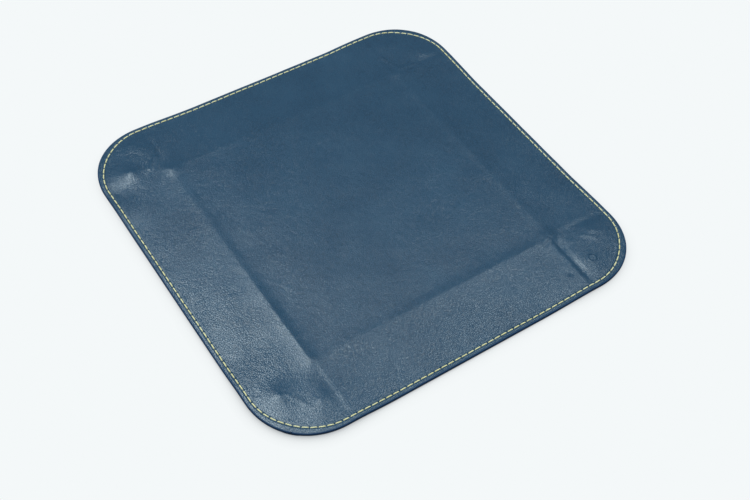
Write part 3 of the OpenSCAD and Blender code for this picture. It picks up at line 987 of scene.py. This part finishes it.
def stitch(k, quarter, side, face, rng):
    """Rings of points of a stitch, k from a side's middle, on the leather (face 1) or the velvet (-1)."""
    steps, around = 18, 12
    # rings crowd towards its two ends
    t = np.linspace(0, 1, steps + 1)
    t = 0.5 - 0.5 * np.cos(math.pi * t) * (0.75 + 0.25 * np.cos(math.pi * t) ** 2)
    along = (k - 0.5 + t) * PITCH
    lean = rng.normal(0, 0.05)
    tall = rng.normal(0, 0.03)
    bend = np.sin(2 * ((np.abs(along) - ARC_C) / SEAM_R).clip(0, math.pi / 2)) ** 2
    insets = SEAM_IN + SEAM_CUT * bend + lean * (2 * t - 1)
    plan = np.array([rim_point(a, inset) for a, inset in zip(along, insets)])
    away = outward(plan)
    plan, away = plan * [side, 1], away * [side, 1]
    plan, away = turned(plan, quarter), turned(away, quarter)
    x, y = plan.T
    dive = np.abs(2 * t - 1)
    sink = np.clip((dive - 0.60) / 0.20, 0, 1.6) ** 1.6
    if face > 0:
        ground = lift(x, y, seated=False) + SHEET - SEAM_DEPTH + waves(x, y)
        height = ground + 0.17 + tall - 0.85 * sink
    else:
        height = lift(x, y) + 0.38 + 0.85 * np.minimum(sink, 1.0)
    path = np.stack([x, y, height], 1)
    tangent = np.gradient(path, axis=0)
    tangent /= np.linalg.norm(tangent, axis=1)[:, None]
    across = np.stack([away[:, 0], away[:, 1], np.zeros(len(x))], 1)
    rise = np.cross(tangent, across)
    rise /= np.linalg.norm(rise, axis=1)[:, None]
    length = np.concatenate([[0], np.cumsum(np.linalg.norm(np.diff(path, axis=0), axis=1))])
    phi = np.arange(around) * 2 * math.pi / around
    spin = phi[None, :] + (2 * math.pi * length / PLY_TURN)[:, None] + rng.random() * 6
    radius = THREAD_R * (1 + 0.17 * np.cos(PLIES * spin))
    tip = np.clip(1.15 - 0.35 * np.clip((dive - 0.8) / 0.2, 0, 1), 0, 1)[:, None]
    radius = radius * tip
    rings = (path[:, None] + across[:, None] * (radius * np.cos(phi))[:, :, None] * 1.08
             + rise[:, None] * (radius * np.sin(phi))[:, :, None] * 0.85)
    return rings


def make_thread(name, quarter, side, numbers, bodies, strip, seed):
    """The stitches of one panel, on both faces."""
    rng = np.random.default_rng(seed)
    shape = Shape()
    for face in (1, -1):
        for k in numbers:
            rings = stitch(k, quarter, side, face, rng)
            rows = [shape.add(r) for r in rings]
            around = len(rows[0])
            middle = len(rings) // 2
            normal = np.cross(np.roll(rings, -1, 1) - np.roll(rings, 1, 1), np.gradient(rings, axis=0))
            inside_out = np.sum(normal[middle] * (rings[middle] - rings[middle].mean(0))) < 0
            if inside_out:
                normal = -normal
            normal /= np.linalg.norm(normal, axis=2)[:, :, None]
            for i in range(len(rows) - 1):
                corners = [rows[i], np.roll(rows[i], -1), np.roll(rows[i + 1], -1), rows[i + 1]]
                facing = [normal[i], np.roll(normal[i], -1, 0), np.roll(normal[i + 1], -1, 0), normal[i + 1]]
                if inside_out:
                    corners = [corners[k] for k in (0, 3, 2, 1)]
                    facing = [facing[k] for k in (0, 3, 2, 1)]
                shape.quads(*corners, facing)
            for end, inner in ((0, 1), (-1, -2)):
                n = rings[end].mean(0) - rings[inner].mean(0)
                n = n / np.linalg.norm(n)
                row = rows[end]
                fan = np.stack([np.full(around - 2, row[0]), row[1:-1], row[2:]], 1)
                pts = np.concatenate(shape.points)[fan[0]]
                if np.dot(np.cross(pts[1] - pts[0], pts[2] - pts[0]), n) < 0:
                    fan = fan[:, ::-1]
                shape.tri(fan, np.tile(n, (around - 2, 3, 1)))
    piece = shape.build(f"stitches_{name}", [THREAD])
    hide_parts(f"thread_{name}")
    hold(piece, bodies, strip)


ON_WALL = 17               # stitches of a wall on each side of its middle one

for name, plan, bodies, strip in panels():
    make_panel(name, plan, bodies, strip)
    quarter = next((q for q, wall in enumerate(WALLS) if name.endswith(wall)), None)
    if name.startswith("wall_"):
        make_thread(name, quarter, 1, range(-ON_WALL, ON_WALL + 1), name, None, 40 + quarter)
    elif name.startswith("corner_"):
        side = 1 if name.split("_")[1] == CORNERS[quarter] else -1
        seed = 50 + 2 * quarter + (side > 0)
        make_thread(name, quarter, side, range(ON_WALL + 1, STITCHES + 1), bodies, strip, seed)

make_board("base", board_plan(False), "base")
for quarter, wall in enumerate(WALLS):
    make_board(f"wall_{wall}", turn(board_plan(True), quarter), f"wall_{wall}")

for node in frame["nodes"]:
    if node.startswith(("socket_", "stud_")):
        for slot in bpy.data.objects[node].material_slots:
            slot.material = NICKEL


# ---------- camera, light and floor ----------

CAMERA_AZIMUTH = math.radians(-35.449)
CAMERA_ELEVATION = math.radians(51.188)
CAMERA_ROLL = math.radians(2.92)
CAMERA_AWAY = 698.1
CAMERA_TARGET = Vector((-9.2, -33.71, 0))
CAMERA_LENS = 56.43
LIGHT_AWAY = 1.5           # metres
LAMP_COLOUR = (0.86, 1.0, 1.04)
FLOOR_UNDER = 2.0          # how far the table reaches in under the sheet
FLOOR_OUT = 32.0           # and out from there


def make_camera():
    """The camera, aimed by two angles and rolled a little."""
    data = bpy.data.cameras.new("camera")
    data.lens = CAMERA_LENS
    data.clip_start, data.clip_end = 0.01, 20
    camera = bpy.data.objects.new("camera", data)
    bpy.context.scene.collection.objects.link(camera)
    back = Vector((math.sin(CAMERA_AZIMUTH) * math.cos(CAMERA_ELEVATION),
                   -math.cos(CAMERA_AZIMUTH) * math.cos(CAMERA_ELEVATION), math.sin(CAMERA_ELEVATION)))
    right = Vector((0, 0, 1)).cross(back).normalized()
    up = back.cross(right)
    c, s = math.cos(CAMERA_ROLL), math.sin(CAMERA_ROLL)
    tilted_right, tilted_up = right * c + up * s, up * c - right * s
    matrix = Matrix((tilted_right, tilted_up, back)).transposed().to_4x4()
    matrix.translation = (CAMERA_TARGET + back * CAMERA_AWAY) * MM
    camera.matrix_world = matrix
    bpy.context.scene.camera = camera


def make_light(name, toward, radius, brightness):
    """A round softbox, by the x and y of the unit vector towards it, its angular radius and its radiance."""
    x, y = toward
    place = Vector((x, y, math.sqrt(1 - x * x - y * y))) * LIGHT_AWAY
    r = LIGHT_AWAY * math.tan(math.radians(radius))
    data = bpy.data.lights.new(name, "AREA")
    data.shape, data.size = "DISK", 2 * r
    data.energy = brightness * math.pi * math.pi * r * r
    data.color = LAMP_COLOUR
    lamp = bpy.data.objects.new(name, data)
    bpy.context.scene.collection.objects.link(lamp)
    lamp.location = place
    lamp.rotation_euler = (-place).to_track_quat("-Z", "Y").to_euler()


def make_world():
    """A pale backdrop that lights the object softly, brighter overhead than round its sides."""
    m = Nodes("studio", "worlds")
    m.tree.nodes.clear()
    place = m.add("ShaderNodeTexCoord").outputs["Generated"]
    height = m.add("ShaderNodeSeparateXYZ", {0: place}).outputs[2]
    strength = m.remap(height, 0.0, 0.9, 0.16, 0.26)
    light = m.add("ShaderNodeBackground", {0: (0.93, 0.96, 1.0, 1), 1: strength})
    seen = m.add("ShaderNodeBackground", {0: (0.905, 0.939, 0.947, 1), 1: 1.0})
    path = m.add("ShaderNodeLightPath")
    mix = m.add("ShaderNodeMixShader",
                {0: path.outputs["Is Camera Ray"], 1: light.outputs[0], 2: seen.outputs[0]})
    m.add("ShaderNodeOutputWorld", {0: mix.outputs[0]})
    bpy.context.scene.world = m.owner


def make_floor():
    """The table round the sheet, clear but for the shade that the sheet throws on it from close by.

    It is open under the sheet, where the walls fold down through it."""
    side = [rim_point(a, FLOOR_UNDER) for a in np.linspace(0, ARC_C, 4)[:-1]]
    corner = [rim_point(a, FLOOR_UNDER) for a in np.linspace(ARC_C, 2 * EIGHTH - ARC_C, 17)]
    down = [[EDGE - FLOOR_UNDER, a] for a in (ARC_C * 0.66, ARC_C * 0.33)]
    inner = np.concatenate([turned(side + corner + down, -quarter) for quarter in range(4)])
    outer = inner + outward(inner) * FLOOR_OUT
    count = len(inner)
    points = [(*p, 0) for p in inner * MM] + [(*p, 0) for p in outer * MM]
    faces = [(i, (i + 1) % count, count + (i + 1) % count, count + i) for i in range(count)]
    mesh = bpy.data.meshes.new("floor")
    mesh.from_pydata(points, [], faces)
    floor = bpy.data.objects.new("floor", mesh)
    m = Nodes("floor_pale")
    open_sky = m.add("ShaderNodeAmbientOcclusion", {"Distance": 8 * MM}, samples=24).outputs["AO"]
    place = m.add("ShaderNodeSeparateXYZ", {0: m.object_place()})
    # the light comes from the back right, so the shade is deepest at the front left
    front = m.remap(place.outputs[1], EDGE, -EDGE, 0.0, 0.9)
    side = m.maths("ADD", front, m.remap(place.outputs[0], EDGE, -EDGE, -0.25, 0.25))
    side = m.remap(side, 0.0, 1.0, 0.10, 1.0)
    shade = m.maths("MULTIPLY", m.maths("POWER", m.maths("SUBTRACT", 1.0, open_sky), 1.2), side)
    shade = m.maths("MULTIPLY", shade, 0.9)
    clear = m.add("ShaderNodeBsdfTransparent")
    dark = m.add("ShaderNodeEmission", {"Color": (0.11, 0.13, 0.15, 1), "Strength": 1.0})
    mix = m.add("ShaderNodeMixShader", {0: shade, 1: clear.outputs[0], 2: dark.outputs[0]})
    m.put(m.tree.nodes["Material Output"].inputs["Surface"], mix.outputs[0])
    mesh.materials.append(m.owner)
    bpy.context.scene.collection.objects.link(floor)
    floor.visible_diffuse = floor.visible_glossy = floor.visible_shadow = False


make_camera()
make_world()
make_floor()
make_light("back_softbox", (-0.07, 0.41), 11.5, 9.0)
make_light("right_softbox", (0.46, 0.20), 7.5, 5.5)
make_light("overhead_fill", (-0.15, -0.10), 22.0, 3.0)
bpy.context.scene.view_settings.view_transform = "Standard"
